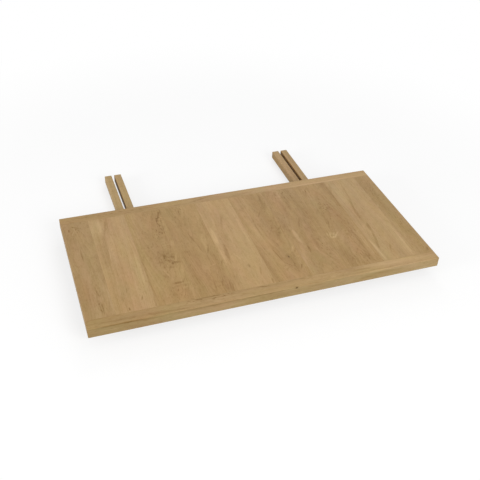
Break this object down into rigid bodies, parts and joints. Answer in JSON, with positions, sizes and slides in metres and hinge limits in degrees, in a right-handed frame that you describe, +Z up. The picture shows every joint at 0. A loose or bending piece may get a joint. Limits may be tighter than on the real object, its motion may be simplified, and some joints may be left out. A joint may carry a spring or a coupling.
{
  "type": "dining table extension leaf",
  "caption": "Flat solid oak table leaf with railed long edges and a pair of slotted forks that slide out from under it.",
  "frame": {"origin": "centre of the leaf's back edge face, the edge that meets the table, at mid thickness", "axes": "+X along that edge, +Y out of it towards the table and along the forks' travel, +Z up out of the leaf's top"},
  "size_m": [1, 0.718, 0.0626],
  "materials": {
    "oak_stave": "oiled oak, satin, each stave of its own tone",
    "oak_rail": "oiled oak, satin, grain along the long edge",
    "oak_guide": "planed oak, matt",
    "oak_fork": "oiled oak, satin, square-cut end grain",
    "zinc_steel": "bright zinc plate",
    "brass": "turned brass, satin"
  },
  "bodies": {
    "leaf": {"back_rail": "oak_rail", "front_rail": "oak_rail", "stave_01": "oak_stave", "stave_02": "oak_stave", "stave_03": "oak_stave", "stave_04": "oak_stave", "stave_05": "oak_stave", "stave_06": "oak_stave", "stave_07": "oak_stave", "stave_08": "oak_stave", "stave_09": "oak_stave", "stave_10": "oak_stave", "left_outer_guide": "oak_guide", "left_inner_guide": "oak_guide", "left_end_stop": "oak_guide", "right_outer_guide": "oak_guide", "right_inner_guide": "oak_guide", "right_end_stop": "oak_guide", "guide_screws": "zinc_steel", "threaded_inserts": "brass", "stop_washers": "zinc_steel", "stop_bolts": "zinc_steel"},
    "left_fork": {"left_outer_slat": "oak_fork", "left_inner_slat": "oak_fork", "left_spacer": "oak_fork"},
    "right_fork": {"right_outer_slat": "oak_fork", "right_inner_slat": "oak_fork", "right_spacer": "oak_fork"}
  },
  "joints": [
    {"name": "left_fork_slide", "type": "slide", "parent": "leaf", "child": "left_fork", "axis": [0, 1, 0], "range_m": [-0.238, 0]},
    {"name": "right_fork_slide", "type": "slide", "parent": "leaf", "child": "right_fork", "axis": [0, 1, 0], "range_m": [-0.238, 0]}
  ]
}
